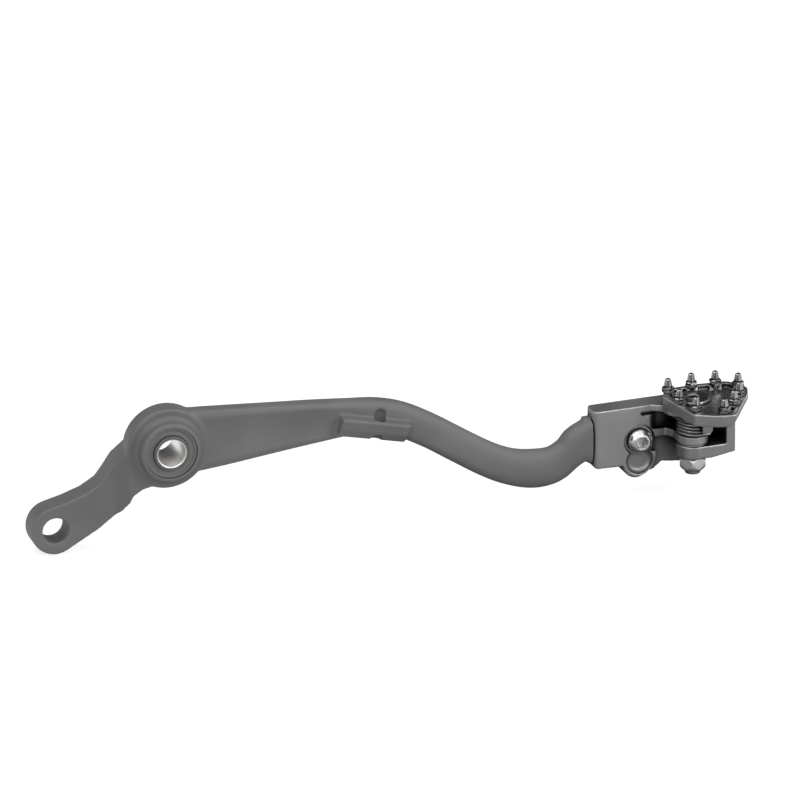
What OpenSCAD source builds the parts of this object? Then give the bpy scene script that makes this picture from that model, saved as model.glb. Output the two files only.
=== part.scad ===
// Rear brake pedal for an off-road motorcycle, right-hand side, with a folding toe pad.
// Units are millimetres. The origin is the centre of the pivot bore.
// +X points forward, +Y inboard to the frame, and +Z up.

/* [Pivot boss] */
// Bore of the pivot bush
bore_d = 14; // [10:0.5:18]
// Length of the pivot bush along its axis
bush_len = 24.8; // [20:0.1:32]
// Wall of the pivot bush
bush_wall = 2; // [1.2:0.1:3.5]
// Outside diameter of the boss collar
boss_d = 31; // [30:0.5:40]
// Length of the boss collar
boss_len = 24; // [20:0.5:30]
// Wall of the collar round each seal
collar_wall = 1.9; // [1.4:0.1:3]
// Depth of each seal pocket
seal_pocket = 4.4; // [3:0.1:6]
// Height of each dust seal
seal_h = 3.4; // [2:0.1:4.2]
// Diameter of the round web behind the collar
web_d = 42.4; // [38:0.5:50]
// How far the web stands outboard of the centre plane
web_out = 5.6; // [4:0.1:7]
// How far the web stands inboard of the centre plane
web_in = 5; // [4:0.1:7]
// Radius of the fillet between collar and web
boss_fillet = 2.6; // [1:0.1:4]

/* [Rear lug] */
// Distance of the push-rod hole behind the pivot
lug_back = 56.8; // [48:0.2:66]
// Distance of the push-rod hole below the pivot
lug_drop = 39.9; // [34:0.2:46]
// Diameter of the push-rod hole
lug_hole_d = 13.4; // [8:0.2:15]
// Outside radius of the lug eye
lug_r = 12.5; // [10.5:0.1:15]
// Thickness of the lug
lug_t = 13.3; // [9:0.1:16]
// Edge break of the push-rod hole
lug_chamfer = 0.8; // [0.3:0.1:1.5]

/* [Arm] */
// Half height of the beam beside the boss
beam_h0 = 16.9; // [14:0.1:17.5]
// Half height of the beam at the spring ledge
beam_h1 = 9.3; // [8:0.1:11]
// Half height of the round section in the bend
bend_h = 8.8; // [7.5:0.1:10]
// Half thickness of the beam
beam_t = 5.1; // [4:0.1:6]
// Half thickness of the round section
bend_t = 6; // [5:0.1:7.5]
// Depth of the shallow dish in the outboard face
dish = 1.5; // [0:0.1:2.5]
// Half height of the shoulder against the tip block
shoulder_h = 12.6; // [11:0.1:15]

/* [Spring ledge] */
// Length of the spring ledge
ledge_len = 36; // [28:1:42]
// How far the ledge stands outboard of the centre plane
ledge_out = 11.6; // [11:0.1:14]
// Depth of the ledge below its lip
ledge_drop = 10.8; // [8:0.1:12]
// Diameter of the spring hook hole
hook_d = 6.4; // [4:0.1:6.6]

/* [Tip block] */
// Distance of the tip block in front of the pivot
block_x = 221.5; // [218:0.5:226]
// Angle of the tip block, turning inboard
block_yaw = 4.5; // [0:0.5:10]
// Length of the tip block
block_len = 46; // [45:0.5:47.5]
// Thickness of the tip block
block_t = 11.5; // [11:0.1:13]
// Height of the top of the tip block
block_top = -5.5; // [-5.6:0.1:-5.3]
// Height of the left end of the tip block
block_h = 30.7; // [30:0.1:34]
// Thickness of the top lip
lip_t = 3.5; // [2.5:0.1:4]
// Height of the top of the middle tongue
tongue_top = -18.8; // [-19:0.1:-18.6]
// Thickness of the middle tongue
tongue_t = 4.3; // [3.5:0.1:4.4]
// Radius of the eyes for the pivot bolt
eye_r = 8; // [7:0.1:8.2]
// Depth of the milled front pocket
pocket_depth = 3.5; // [1:0.1:3.8]
// Where the front pocket begins
pocket_x = 31.8; // [31:0.1:33]
// Corner radius of the front pocket
pocket_r = 3.3; // [2:0.1:3.5]
// Radius of the lobe under the clamp screw
lobe_r = 7.7; // [7:0.1:8.5]
// Thickness of the arm's tang
tang_t = 4; // [3:0.1:4.5]
// Height of the arm's tang
tang_h = 22.6; // [18:0.2:23.5]

/* [Clamp screw] */
// Distance of the clamp screw from the end of the block
screw_x = 24.6; // [22:0.1:25]
// Height of the clamp screw
screw_z = -24; // [-26:0.1:-22]
// Thread diameter of the clamp screw
screw_d = 8; // [6:0.5:8]
// Head diameter of the clamp screw
screw_head_d = 13.4; // [12:0.1:14.4]
// Head height of the clamp screw
screw_head_h = 6; // [4:0.1:6.5]
// Diameter of the counterbore
counterbore_d = 16.1; // [15.4:0.1:17]
// Depth of the counterbore
counterbore_depth = 2.6; // [1.5:0.1:3]
// Thickness of the washer under the head
washer_t = 0.9; // [0.5:0.1:1.5]
// Size of the hex key across its flats
key_af = 5; // [4:0.5:6]

/* [Toe pad] */
// Distance of the pad's pivot from the end of the block
pad_x = 48.9; // [48:0.1:50]
// Distance of the pad's pivot outboard of the block's centre plane
pad_out = 16.7; // [16.2:0.1:18]
// Height of the pad's rim
pad_top = 1.2; // [0.5:0.1:2.5]
// Depth of the recessed floor below the rim
pad_recess = 2.5; // [1.5:0.1:3.2]
// Width of the rim
rim_w = 2.6; // [1.8:0.1:3.4]
// Thickness of the lower lip
lower_lip_t = 6.6; // [5:0.1:7]
// Thickness of the end wall
end_wall_t = 4.8; // [3.5:0.1:5.5]
// Distance of the end wall's outer face from the pivot
end_wall_x = 19.8; // [18.5:0.1:22]
// Thickness of the stop web at the inboard side
stop_web_t = 2.8; // [2:0.1:4]

/* [Pad pivot] */
// Thread diameter of the pivot bolt
bolt_d = 8; // [6:0.5:8]
// Diameter of the bolt's low head
bolt_head_d = 17.8; // [14:0.1:18.6]
// Height of the bolt's head
bolt_head_h = 1.9; // [1.4:0.1:2.4]
// Size of the lock nut across its flats
nut_af = 13; // [12:0.5:14]
// Height of the lock nut
nut_h = 10.7; // [8:0.1:11.5]
// Wire diameter of the torsion spring
wire_d = 1.7; // [1.2:0.1:1.7]
// Outside diameter of the torsion spring
spring_od = 17; // [16:0.1:17.1]
// Turns of the torsion spring
spring_turns = 4.25; // [3.25:0.25:4.25]

/* [Grip studs] */
// Size of the stud's hex collar across its flats
stud_af = 5.5; // [4:0.1:5.8]
// Height of the lock nut under the stud
stud_nut_h = 1.6; // [1:0.1:2.2]
// Height of the stud's hex collar
stud_collar_h = 1.4; // [1:0.1:2]
// Diameter of the cone at its base
stud_base_d = 4.2; // [3:0.1:4.6]
// Diameter of the cone at its tip
stud_tip_d = 3; // [1.5:0.1:3.4]
// Height of the cone
stud_cone_h = 4; // [3:0.1:5.5]
// Thread diameter of the stud
stud_d = 3; // [2:0.1:3.4]

/* [Clearances] */
// Radial clearance of a turning shaft in its hole
run_gap = 0.06; // [0.03:0.01:0.1]
// Radial clearance of a bolt in a plain hole
bolt_gap = 0.2; // [0.1:0.05:0.3]
// Gap between pressed or screwed parts
seat_gap = 0.02; // [0.01:0.01:0.03]
// Gap between sliding flat faces
slide_gap = 0.3; // [0.2:0.05:0.4]

/* [Hidden] */

fine = 64;
cut = 1;

boss_r = boss_d / 2;
web_r = web_d / 2;
bush_r = bore_d / 2 + bush_wall;
pocket_rad = boss_r - collar_wall;
boss_face = boss_len / 2;

// Stations of the arm: x, z, half height, half thickness, squareness, dish, ridge drop
stations = [
    [9, 1.3, beam_h0, beam_t, 7, 0, 0],
    [30, 2.1, beam_h0 - 1.7, beam_t, 7, dish, 0],
    [52, 3.1, (beam_h0 + beam_h1) / 2, beam_t, 6.5, dish, 0],
    [75, 4.1, beam_h1 + 1.7, beam_t, 6, dish, 0],
    [95, 4.6, beam_h1, beam_t + 0.3, 4, dish / 3, 0],
    [109, 3.8, beam_h1 - 0.2, bend_t - 0.2, 3, 0, -1],
    [122, 0.3, bend_h + 0.2, bend_t, 2.6, 0, -2],
    [137, -7.4, bend_h, bend_t, 2.4, 0, -2.4],
    [153, -17.5, bend_h, bend_t, 2.4, 0, -2.2],
    [168, -26.6, bend_h + 0.2, bend_t, 2.4, 0, -1.6],
    [180, -31.8, bend_h + 0.7, bend_t, 2.4, 0, -1],
    [192, -34.1, bend_h + 1.4, bend_t, 2.4, 0, -0.6],
    [202, -33, bend_h + 0.9, bend_t, 2.4, 0, -0.4],
    [210, -27.9, bend_h, bend_t, 2.5, 0, 0],
    [215.5, -23.8, bend_h + 1.6, bend_t, 3, 0, 0],
    [block_x + 3, -22, shoulder_h + 0.6, bend_t, 4, 0, 0]
];
steps_per_span = 4;
section_sides = 28;

ledge_start = [89.6, 7.8];
ledge_slope = 11.6;
hook_along = 20.5;
hook_r = hook_d / 2;
hook_y = -(ledge_out - 1.7 - hook_r);

block_half = block_t / 2;
block_foot = block_top - block_h;
wall_foot = block_foot - 2.3;
slot_t = tang_t + 2 * run_gap;
slot_mid = 1;
tang_mid_z = -21;
tang_nose = 8;
end_r = 2.6;
slit_x = 25.2;
slit_h = 1.6;
slit_depth = 2;
lobe_at = [screw_x - 1.3, block_foot + 0.2];
lobe_rim = 1.5;
lobe_shoulder = [[14.5, -2.1], [12.8, -3.6], [10.2, -5.5], [6.4, -6.6]];
ramp_out = 3.4;
screw_r = screw_d / 2;
counterbore_r = counterbore_d / 2;
head_seat = block_half - counterbore_depth + washer_t;

lip_foot = block_top - lip_t;
tongue_foot = tongue_top - tongue_t;
pad_foot = block_top + slide_gap + 0.2;
pad_floor = pad_top - pad_recess;
thrust_t = 0.6;
lower_lip_top = tongue_foot - thrust_t - slide_gap;
lower_lip_foot = lower_lip_top - lower_lip_t;
bolt_r = bolt_d / 2;
wall_turn = 4.1;
stop_x = 6.6;
pad_eye_r = eye_r + 0.3;
clevis_half = pad_eye_r - 0.15;

coil_r = (spring_od - wire_d) / 2;
coil_top = lip_foot - slide_gap - wire_d / 2;
coil_foot = tongue_top + slide_gap + wire_d / 2;
sleeve_r = coil_r - wire_d / 2 - 0.6;
web_y = coil_r + wire_d / 2 + 0.7;
nut_corner_r = nut_af / 2 / cos(30);
nut_hex_h = nut_h * 0.56;
ring_h = 2;
ring_w = 0.6;

// The pad's outline seen from above, with a corner radius for each point
pad_outline = [
    [-14.9, 3.6], [-11.2, 12.4], [5.5, 14.4], [22.6, 14.2], [29.6, 3.2],
    [27.6, -4.3], [12.7, -31.8], [4.4, -31.5], [-7.5, -25.9]
];
pad_corners = [3, 4, 30, 5, 5, 12, 1.4, 14, 1.6];
rim_corners = [1, 2, 20, 3, 3, 9, 1, 11, 1];
edge_h = 3.4;
studs = [
    [-10.8, 7.7], [2.6, 11.4], [15.1, 11.1], [25.2, 4.8], [-9.6, -7.8],
    [-4.8, -20.6], [8, -26.9], [16, -17.3], [22, -7.1]
];
stud_boss_r = stud_af / 2 + 0.7;

// Lengths of a vector and corner points of rounded outlines
function unit(v) = v / norm(v);
function side(v) = [-v[1], v[0]];
function corner_arc(a, b, c, r, n) =
    let (
        u = unit(a - b),
        w = unit(c - b),
        half = acos(u * w) / 2,
        reach = r / tan(half),
        mid = b + unit(u + w) * r / sin(half),
        p = b + u * reach - mid,
        q = b + w * reach - mid,
        turn = atan2(p[0] * q[1] - p[1] * q[0], p * q)
    )
    [for (i = [0 : n])
        let (t = turn * i / n)
        mid + [p[0] * cos(t) - p[1] * sin(t), p[0] * sin(t) + p[1] * cos(t)]];
function rounded(pts, radii, n = 6) =
    let (m = len(pts))
    [for (i = [0 : m - 1])
        each corner_arc(pts[(i + m - 1) % m], pts[i], pts[(i + 1) % m],
                        is_list(radii) ? radii[i] : radii, n)];

// An open run of points whose inner corners are rounded
function softened(pts, radii, n = 5) =
    [pts[0],
     for (i = [1 : len(pts) - 2]) each corner_arc(pts[i - 1], pts[i], pts[i + 1], radii[i - 1], n),
     pts[len(pts) - 1]];
function arc(centre, r, from, to, n = 24) =
    [for (i = [0 : n])
        let (t = from + (to - from) * i / n)
        centre + r * [cos(t), sin(t)]];

// Outline moved inwards by d, for points that run clockwise
function inset(pts, d) =
    let (m = len(pts))
    [for (i = [0 : m - 1])
        let (
            a = pts[(i + m - 1) % m],
            b = pts[i],
            c = pts[(i + 1) % m],
            n1 = -side(unit(b - a)),
            n2 = -side(unit(c - b))
        )
        b + (n1 + n2) * d / (1 + n1 * n2)];

// Smooth curve through the stations
function blend(p0, p1, p2, p3, t) =
    0.5 * (2 * p1 + (p2 - p0) * t + (2 * p0 - 5 * p1 + 4 * p2 - p3) * t * t
           + (3 * p1 - p0 - 3 * p2 + p3) * t * t * t);
function station(i) = stations[max(0, min(len(stations) - 1, i))];
function along(s) =
    let (i = min(floor(s), len(stations) - 2))
    blend(station(i - 1), station(i), station(i + 1), station(i + 2), s - i);
function section(s) =
    let (
        v = along(s),
        w = along(min(s + 0.02, len(stations) - 1)) - along(max(s - 0.02, 0)),
        dir = unit([w[0], w[1]])
    )
    [for (k = [0 : section_sides - 1])
        let (
            a = 360 * k / section_sides,
            r = pow(pow(abs(cos(a)), v[4]) + pow(abs(sin(a)), v[4]), -1 / v[4]),
            up = sin(a) * r,
            out = cos(a) * r,
            scoop = out < 0 ? v[5] * max(0, 1 - pow(up / 0.8, 2)) : 0,
            h = v[2] * up + (out < 0 ? v[6] * out * out * (1 - up * up) : 0)
        )
        [v[0] - h * dir[1], v[3] * out + scoop, v[1] + h * dir[0]]];

// Skin between rings of points, closed at both ends
module skin(rings) {
    m = len(rings[0]);
    last = len(rings) - 1;
    polyhedron(
        points = [for (ring = rings) each ring],
        faces = concat(
            [[for (k = [0 : m - 1]) k]],
            [for (i = [0 : last - 1], k = [0 : m - 1])
                [i * m + k, (i + 1) * m + (k + 1) % m, i * m + (k + 1) % m]],
            [for (i = [0 : last - 1], k = [0 : m - 1])
                [i * m + k, (i + 1) * m + k, (i + 1) * m + (k + 1) % m]],
            [[for (k = [0 : m - 1]) last * m + m - 1 - k]]
        )
    );
}

// Extrudes a side-view outline, drawn in x and z, from y0 to y1
module side_plate(y0, y1) {
    translate([0, y1, 0]) rotate([90, 0, 0]) linear_extrude(height = y1 - y0) children();
}

// Turns a shape that is drawn along +Z so that it points outboard
module outboard() {
    rotate([90, 0, 0]) children();
}

// Tube with its axis along Z
module tube(r_out, r_in, h) {
    difference() {
        cylinder(r = r_out, h = h, $fn = fine);
        translate([0, 0, -cut]) cylinder(r = r_in, h = h + 2 * cut, $fn = fine);
    }
}

// Places a shape in the frame of the tip block
module at_block() {
    translate([block_x, 0, 0]) rotate([0, 0, block_yaw]) children();
}

// Places a shape on the pad's pivot axis, square to the pedal
module at_pad() {
    at_block() translate([pad_x, -pad_out, 0]) rotate([0, 0, -block_yaw]) children();
}

// Rear lug and its cranked neck: side outline and plan outline cross each other
module lug_body() {
    eye = [-lug_back, -lug_drop];
    intersection() {
        side_plate(-web_out, lug_t)
            polygon(concat(
                [[0, 0], [-12, 6], [-20, -1], [-25.3, -5.4], [-29.4, -11.6], [-33.6, -17.2]],
                [[-41, -21.8], [-51, -25.4]],
                arc(eye, lug_r, 105, 305.7),
                [[-34.4, -41.2], [-23.6, -32.9], [-20.4, -28.6], [-17.8, -23.6], [-13, -20.6]],
                [[-8, -19.4]]
            ));
        translate([0, 0, -lug_drop - lug_r - cut]) linear_extrude(height = lug_drop + lug_r + 10)
            polygon([
                [-lug_back - lug_r - cut, 0], [-26, 0], [-19.5, -web_out], [1, -web_out],
                [1, web_in], [-9, web_in], [-18, lug_t], [-lug_back - lug_r - cut, lug_t]
            ]);
    }
}

// Collar with a concave fillet down to the web
module boss_body() {
    outboard() rotate_extrude($fn = 2 * fine)
        polygon(concat(
            [[0, -boss_face], [boss_r - 0.6, -boss_face], [boss_r, -boss_face + 0.6]],
            arc([boss_r + boss_fillet, -web_in - boss_fillet], boss_fillet, 180, 90, 6),
            [[web_r - 0.8, -web_in], [web_r, -web_in + 0.8]],
            [[web_r, web_out - 0.8], [web_r - 0.8, web_out]],
            arc([boss_r + boss_fillet, web_out + boss_fillet], boss_fillet, 270, 180, 6),
            [[boss_r, boss_face - 0.6], [boss_r - 0.6, boss_face], [0, boss_face]]
        ));
}

// Hook ledge on the outboard face of the beam
module ledge_body() {
    translate([ledge_start[0], 0, ledge_start[1]]) rotate([0, ledge_slope, 0])
        rotate([90, 0, 90]) linear_extrude(height = ledge_len)
            polygon([
                [-2, 0.4], [-ledge_out + 0.5, 0], [-ledge_out, -0.5], [-ledge_out + 0.2, -1.4],
                [-ledge_out + 1.2, -6], [-beam_t - 1.2, -ledge_drop], [-2, -ledge_drop]
            ]);
}

module hook_hole() {
    translate([ledge_start[0], 0, ledge_start[1]]) rotate([0, ledge_slope, 0])
        translate([hook_along, hook_y, -ledge_drop - 3]) {
            cylinder(r = hook_r, h = ledge_drop + 3 + 2.6, $fn = fine);
            translate([0, 0, ledge_drop + 3 + 2.6]) sphere(r = hook_r, $fn = fine);
        }
}

// Side outline of the tang, grown by a gap for its slot
module tang_side(from_x, gap) {
    end_x = screw_x + tang_nose + gap;
    low = tang_mid_z - tang_h / 2 - gap;
    high = tang_mid_z + tang_h / 2 + gap;
    polygon(softened([[from_x, low], [end_x, low], [end_x, high], [from_x, high]], [6, 6]));
}

// Body of the arm, cut off square just before the tip block
module arm_body() {
    reach = 8 * shoulder_h;
    difference() {
        skin([for (i = [0 : steps_per_span * (len(stations) - 1)]) section(i / steps_per_span)]);
        at_block() translate([-slide_gap, -reach / 2, -reach / 2]) cube(reach);
    }
}

module tang() {
    at_block() side_plate(slot_mid - tang_t / 2, slot_mid + tang_t / 2) tang_side(-4, 0);
}

module pedal_arm() {
    color([0.42, 0.42, 0.43]) difference() {
        union() {
            boss_body();
            lug_body();
            arm_body();
            ledge_body();
            tang();
        }
        outboard() cylinder(r = bush_r + seat_gap, h = boss_len + 2 * cut, center = true, $fn = 2 * fine);
        for (end = [-1, 1])
            outboard() translate([0, 0, end * (boss_face + cut / 2 - seal_pocket / 2)])
                cylinder(r = pocket_rad, h = seal_pocket + cut, center = true, $fn = 2 * fine);
        translate([-lug_back, lug_t + cut, -lug_drop]) outboard()
            cylinder(r = lug_hole_d / 2, h = lug_t + 2 * cut, $fn = fine);
        for (face = [0, 1])
            translate([-lug_back, face * lug_t, -lug_drop]) rotate([face * 180 - 90, 0, 0])
                translate([0, 0, -cut])
                    cylinder(r1 = lug_hole_d / 2 + lug_chamfer + cut, r2 = lug_hole_d / 2,
                             h = lug_chamfer + cut, $fn = fine);
        hook_hole();
        at_block() translate([screw_x, block_half, screw_z]) outboard()
            cylinder(r = screw_r + bolt_gap, h = block_t, $fn = fine);
    }
}

module pivot_bush() {
    color([0.62, 0.6, 0.56]) outboard() translate([0, 0, -bush_len / 2])
        rotate_extrude($fn = 2 * fine)
            polygon([
                [bore_d / 2, 0.6], [bore_d / 2 + 0.6, 0], [bush_r - 0.4, 0], [bush_r, 0.4],
                [bush_r, bush_len - 0.4], [bush_r - 0.4, bush_len],
                [bore_d / 2 + 0.6, bush_len], [bore_d / 2, bush_len - 0.6]
            ]);
}

// Dust seal: a ring with a raised lip against the bush
module seal_ring() {
    r_out = pocket_rad - seat_gap;
    r_in = bush_r + slide_gap;
    rotate_extrude($fn = 2 * fine)
        polygon([
            [r_in, 0], [r_out, 0], [r_out, seal_h - 0.5], [r_out - 0.5, seal_h],
            [r_out - 1.4, seal_h], [r_out - 1.9, seal_h - 0.9], [r_in + 1, seal_h - 0.9],
            [r_in + 0.4, seal_h], [r_in, seal_h - 0.2]
        ]);
}

module pivot_seal_outer() {
    color([0.2, 0.2, 0.2]) outboard() translate([0, 0, boss_face - seal_pocket]) seal_ring();
}

module pivot_seal_inner() {
    color([0.2, 0.2, 0.2]) outboard() mirror([0, 0, 1])
        translate([0, 0, boss_face - seal_pocket]) seal_ring();
}

// Side outline of the tip block with the lobe under the clamp screw
module block_side() {
    polygon(concat(
        rounded([[0, block_foot], [0, block_top], [block_len, block_top], [block_len, wall_foot - 0.7]],
                [2.4, 1.2, 1, 1.5]),
        [for (step = lobe_shoulder) lobe_at + step],
        arc(lobe_at, lobe_r, -62, -175)
    ));
}

// Rounds an upright edge of the block's left end, at its outboard or inboard face
module end_rounding(face) {
    r = end_r;
    translate([0, face * block_half, block_foot - cut]) mirror([0, face > 0 ? 1 : 0, 0])
        linear_extrude(height = block_h + 2 * cut)
            polygon(concat([[r, -cut], [-cut, -cut], [-cut, r]], arc([r, r], r, 180, 270, 8)));
}

// Recess below the clamp screw: a flat floor that ends in a round ramp
module lobe_recess() {
    inner_r = lobe_r - lobe_rim;
    intersection() {
        side_plate(-block_half - cut, block_half) union() {
            translate(lobe_at) circle(r = inner_r, $fn = fine);
            polygon([
                [screw_x - 3, screw_z], [screw_x + counterbore_r - 1, screw_z],
                lobe_at + [inner_r - 0.2, 0], lobe_at + [0, -2]
            ]);
        }
        translate([lobe_at[0], -block_half - ramp_out, lobe_at[1]]) union() {
            translate([-2 * lobe_r, 0, 0]) rotate([0, 90, 0])
                cylinder(r = ramp_out + counterbore_depth, h = 4 * lobe_r, $fn = fine);
            translate([-2 * lobe_r, -ramp_out, 0])
                cube([4 * lobe_r, 2 * ramp_out + counterbore_depth, block_h]);
        }
    }
}

// Plan outline of the top lip, out to the eye
module lip_plan() {
    eye = [pad_x, -pad_out];
    polygon(concat(
        [[24, 0]],
        softened(
            [
                [24, -block_half], [31, -block_half], [35.4, -8.4], [36.6, -14.6],
                eye + eye_r * [cos(200), sin(200)]
            ],
            [3, 3, 3]
        ),
        arc(eye, eye_r, 205, 375),
        [[52, -2], [block_len, block_half - 1], [block_len - 4, 0]]
    ));
}

// Plan outline of the tongue, with the nose that stops the pad
module tongue_plan() {
    eye = [pad_x, -pad_out];
    polygon(concat(
        [[28, 0]],
        softened([[28, -block_half], [38.6, -block_half], [41.2, -10], eye - [eye_r, 0]], [2, 2]),
        arc(eye, eye_r, 190, 385),
        [[55.4, -9], [block_len + 3, 3], [block_len, block_half - 1], [block_len - 4, 0]]
    ));
    translate(eye) rotate(wall_turn - block_yaw)
        polygon([
            [-4, 3], [stop_x - slide_gap, 3], [stop_x - slide_gap, web_y + stop_web_t],
            [-2, web_y + stop_web_t + 6]
        ]);
}

module tip_block() {
    color([0.36, 0.36, 0.38]) difference() {
        at_block() {
            side_plate(-block_half, block_half) block_side();
            translate([0, 0, lip_foot]) linear_extrude(height = lip_t) lip_plan();
            translate([0, 0, tongue_foot]) linear_extrude(height = tongue_t) tongue_plan();
        }
        at_block() {
            for (zone = [[lip_foot, tongue_top], [tongue_foot, wall_foot - 2 * lobe_r]])
                translate([0, 0, zone[1]]) linear_extrude(height = zone[0] - zone[1])
                    front_pocket_plan();
            side_plate(slot_mid - slot_t / 2, slot_mid + slot_t / 2)
                tang_side(-cut, slide_gap);
            side_plate(-block_half - cut, -block_half + counterbore_depth)
                translate([screw_x, screw_z]) circle(r = counterbore_r, $fn = fine);
            lobe_recess();
            side_plate(-block_half - cut, -block_half + slit_depth) {
                translate([slit_x + slit_h / 2, lip_foot - slit_h / 2])
                    circle(r = slit_h / 2, $fn = fine);
                translate([slit_x + slit_h / 2, lip_foot - slit_h])
                    square([pocket_x + pocket_r - slit_x, slit_h]);
            }
            for (face = [-1, 1]) end_rounding(face);
            translate([screw_x, block_half + cut, screw_z]) outboard()
                cylinder(r = screw_r + seat_gap, h = block_t + 2 * cut, $fn = fine);
        }
        at_pad() translate([0, 0, tongue_foot - cut])
            cylinder(r = bolt_r + run_gap, h = block_top - tongue_foot + 2 * cut, $fn = fine);
    }
}

// Plan outline of the pocket that is milled into the front face
module front_pocket_plan() {
    floor_y = -block_half + pocket_depth;
    end_x = pad_x + 20;
    polygon(softened(
        [[pocket_x, -block_half - 12], [pocket_x, floor_y], [end_x, floor_y], [end_x, -block_half - 12]],
        [pocket_r, 1]
    ));
}

// Screw with its seat at z = 0: a domed head, a shank below and a hex socket from above
module socket_screw(r, h, flat_r, edge_h, shank_r, shank_l, key_depth) {
    difference() {
        union() {
            rotate_extrude($fn = fine)
                polygon(concat(
                    [[0, 0], [r - edge_h / 3, 0], [r, edge_h / 3]],
                    [for (i = [0 : 6]) let (a = 15 * i)
                        [flat_r + (r - flat_r) * cos(a), edge_h + (h - edge_h) * sin(a)]],
                    [[0, h]]
                ));
            translate([0, 0, -shank_l]) cylinder(r = shank_r, h = shank_l + h / 4, $fn = fine);
        }
        translate([0, 0, h - key_depth])
            cylinder(r = key_af / 2 / cos(30), h = key_depth + cut, $fn = 6);
    }
}

module clamp_screw() {
    color([0.75, 0.75, 0.75]) at_block() translate([screw_x, -head_seat, screw_z]) outboard()
        socket_screw(screw_head_d / 2, screw_head_h, 3.7, 1.2,
                     screw_r, head_seat + block_half, key_af / 2 + 0.6);
}

module clamp_washer() {
    color([0.6, 0.6, 0.6]) at_block() translate([screw_x, -head_seat + washer_t, screw_z]) outboard()
        tube(counterbore_r - slide_gap, screw_r + bolt_gap, washer_t);
}

// Plan outline of the clevis under the plate: eye, lower lip, end wall and stop web
module clevis_plan() {
    circle(r = pad_eye_r, $fn = fine);
    translate([0, -clevis_half]) square([end_wall_x, 2 * clevis_half]);
    translate([stop_x, 0]) square([end_wall_x - stop_x, web_y + stop_web_t]);
}

// The clevis is one profile with a window milled through it
module clevis() {
    window_h = pad_foot - lower_lip_top;
    rotate([0, 0, wall_turn]) difference() {
        translate([0, 0, lower_lip_foot]) linear_extrude(height = pad_foot - lower_lip_foot + cut)
            clevis_plan();
        translate([-2 * end_wall_x, -2 * end_wall_x, lower_lip_top])
            cube([3 * end_wall_x - end_wall_t, 2 * end_wall_x + web_y, window_h + 2 * cut]);
        translate([nut_corner_r, 0, lower_lip_foot]) rotate([0, -9, 0])
            translate([0, -end_wall_x, -10]) cube([2 * end_wall_x, 2 * end_wall_x, 10]);
    }
}

module tip_pad() {
    color([0.55, 0.55, 0.56]) at_pad() difference() {
        union() {
            translate([0, 0, pad_foot]) linear_extrude(height = pad_top - pad_foot)
                polygon(rounded(pad_outline, pad_corners));
            clevis();
            spring_lug();
        }
        difference() {
            translate([0, 0, pad_floor]) linear_extrude(height = pad_recess + cut)
                polygon(rounded(inset(pad_outline, rim_w), rim_corners));
            for (at = studs)
                translate([at[0], at[1], pad_floor - cut])
                    cylinder(r = stud_boss_r, h = pad_recess + 3 * cut, $fn = fine);
        }
        edge_chamfer();
        translate([0, 0, pad_floor])
            cylinder(r = bolt_head_d / 2 + slide_gap, h = pad_recess + cut, $fn = fine);
        translate([0, 0, lower_lip_foot - cut])
            cylinder(r = bolt_r + seat_gap, h = pad_top - lower_lip_foot + 2 * cut, $fn = fine);
        for (at = studs)
            translate([at[0], at[1], pad_foot - cut])
                cylinder(r = stud_d / 2 + seat_gap, h = pad_top - pad_foot + 2 * cut, $fn = 32);
    }
}

// Sloped cut under the long outer edge of the plate, below its upright face
module edge_chamfer() {
    from = pad_outline[6];
    run = pad_outline[5] - from;
    depth = pad_top - edge_h - pad_foot;
    translate([from[0], from[1], pad_top - edge_h]) rotate([0, 0, atan2(run[1], run[0])])
        rotate([-45, 0, 0]) translate([-2 * depth, -2 * depth, -2 * depth])
            cube([norm(run) + 4 * depth, 4 * depth, 2 * depth]);
}

// Small lug under the plate that the spring's leg bears on
module spring_lug() {
    lug_w = 5.5;
    lug_h = 11.1;
    lug_x = 1.8;
    lug_d = 1.9;
    translate([lug_x, -coil_r - wire_d / 2 - 0.5, pad_foot - lug_h]) rotate([90, 0, 0])
        linear_extrude(height = lug_d)
            polygon(concat(
                [[0, lug_h + cut], [0, 0]],
                corner_arc([0, 0], [lug_w, 0], [lug_w, lug_h], 1.8, 5),
                [[lug_w, lug_h + cut]]
            ));
}

module pad_pivot_bolt() {
    shank_l = pad_floor - lower_lip_foot + nut_h - 1;
    color([0.6, 0.6, 0.6]) at_pad() translate([0, 0, pad_floor])
        socket_screw(bolt_head_d / 2, bolt_head_h, bolt_head_d / 4, 0.7,
                     bolt_r, shank_l, key_af / 2 + 0.7);
}

// Lock nut: a chamfered hexagon with a round collar that holds the locking ring
module pad_lock_nut() {
    color([0.72, 0.72, 0.72]) at_pad() translate([0, 0, lower_lip_foot]) mirror([0, 0, 1])
        difference() {
            union() {
                intersection() {
                    rotate([0, 0, 13]) cylinder(r = nut_corner_r, h = nut_hex_h, $fn = 6);
                    rotate_extrude($fn = fine)
                        polygon([
                            [0, 0], [nut_af / 2, 0], [nut_corner_r, 0.6],
                            [nut_corner_r, nut_hex_h - 1], [nut_af / 2 - 0.4, nut_hex_h], [0, nut_hex_h]
                        ]);
                }
                rotate_extrude($fn = fine)
                    polygon([
                        [0, nut_hex_h - 1], [nut_af / 2 - 0.4, nut_hex_h - 1],
                        [nut_af / 2 - 0.4, nut_hex_h + 1.6], [nut_af / 2 - 0.8, nut_h - 2.2],
                        [nut_af / 2 - 1.3, nut_h - 1], [nut_af / 2 - 2, nut_h], [0, nut_h]
                    ]);
            }
            translate([0, 0, -cut]) cylinder(r = bolt_r + seat_gap, h = nut_h + 2 * cut, $fn = fine);
            translate([0, 0, nut_hex_h]) cylinder(r = bolt_r + ring_w, h = ring_h, $fn = fine);
        }
}

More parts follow.
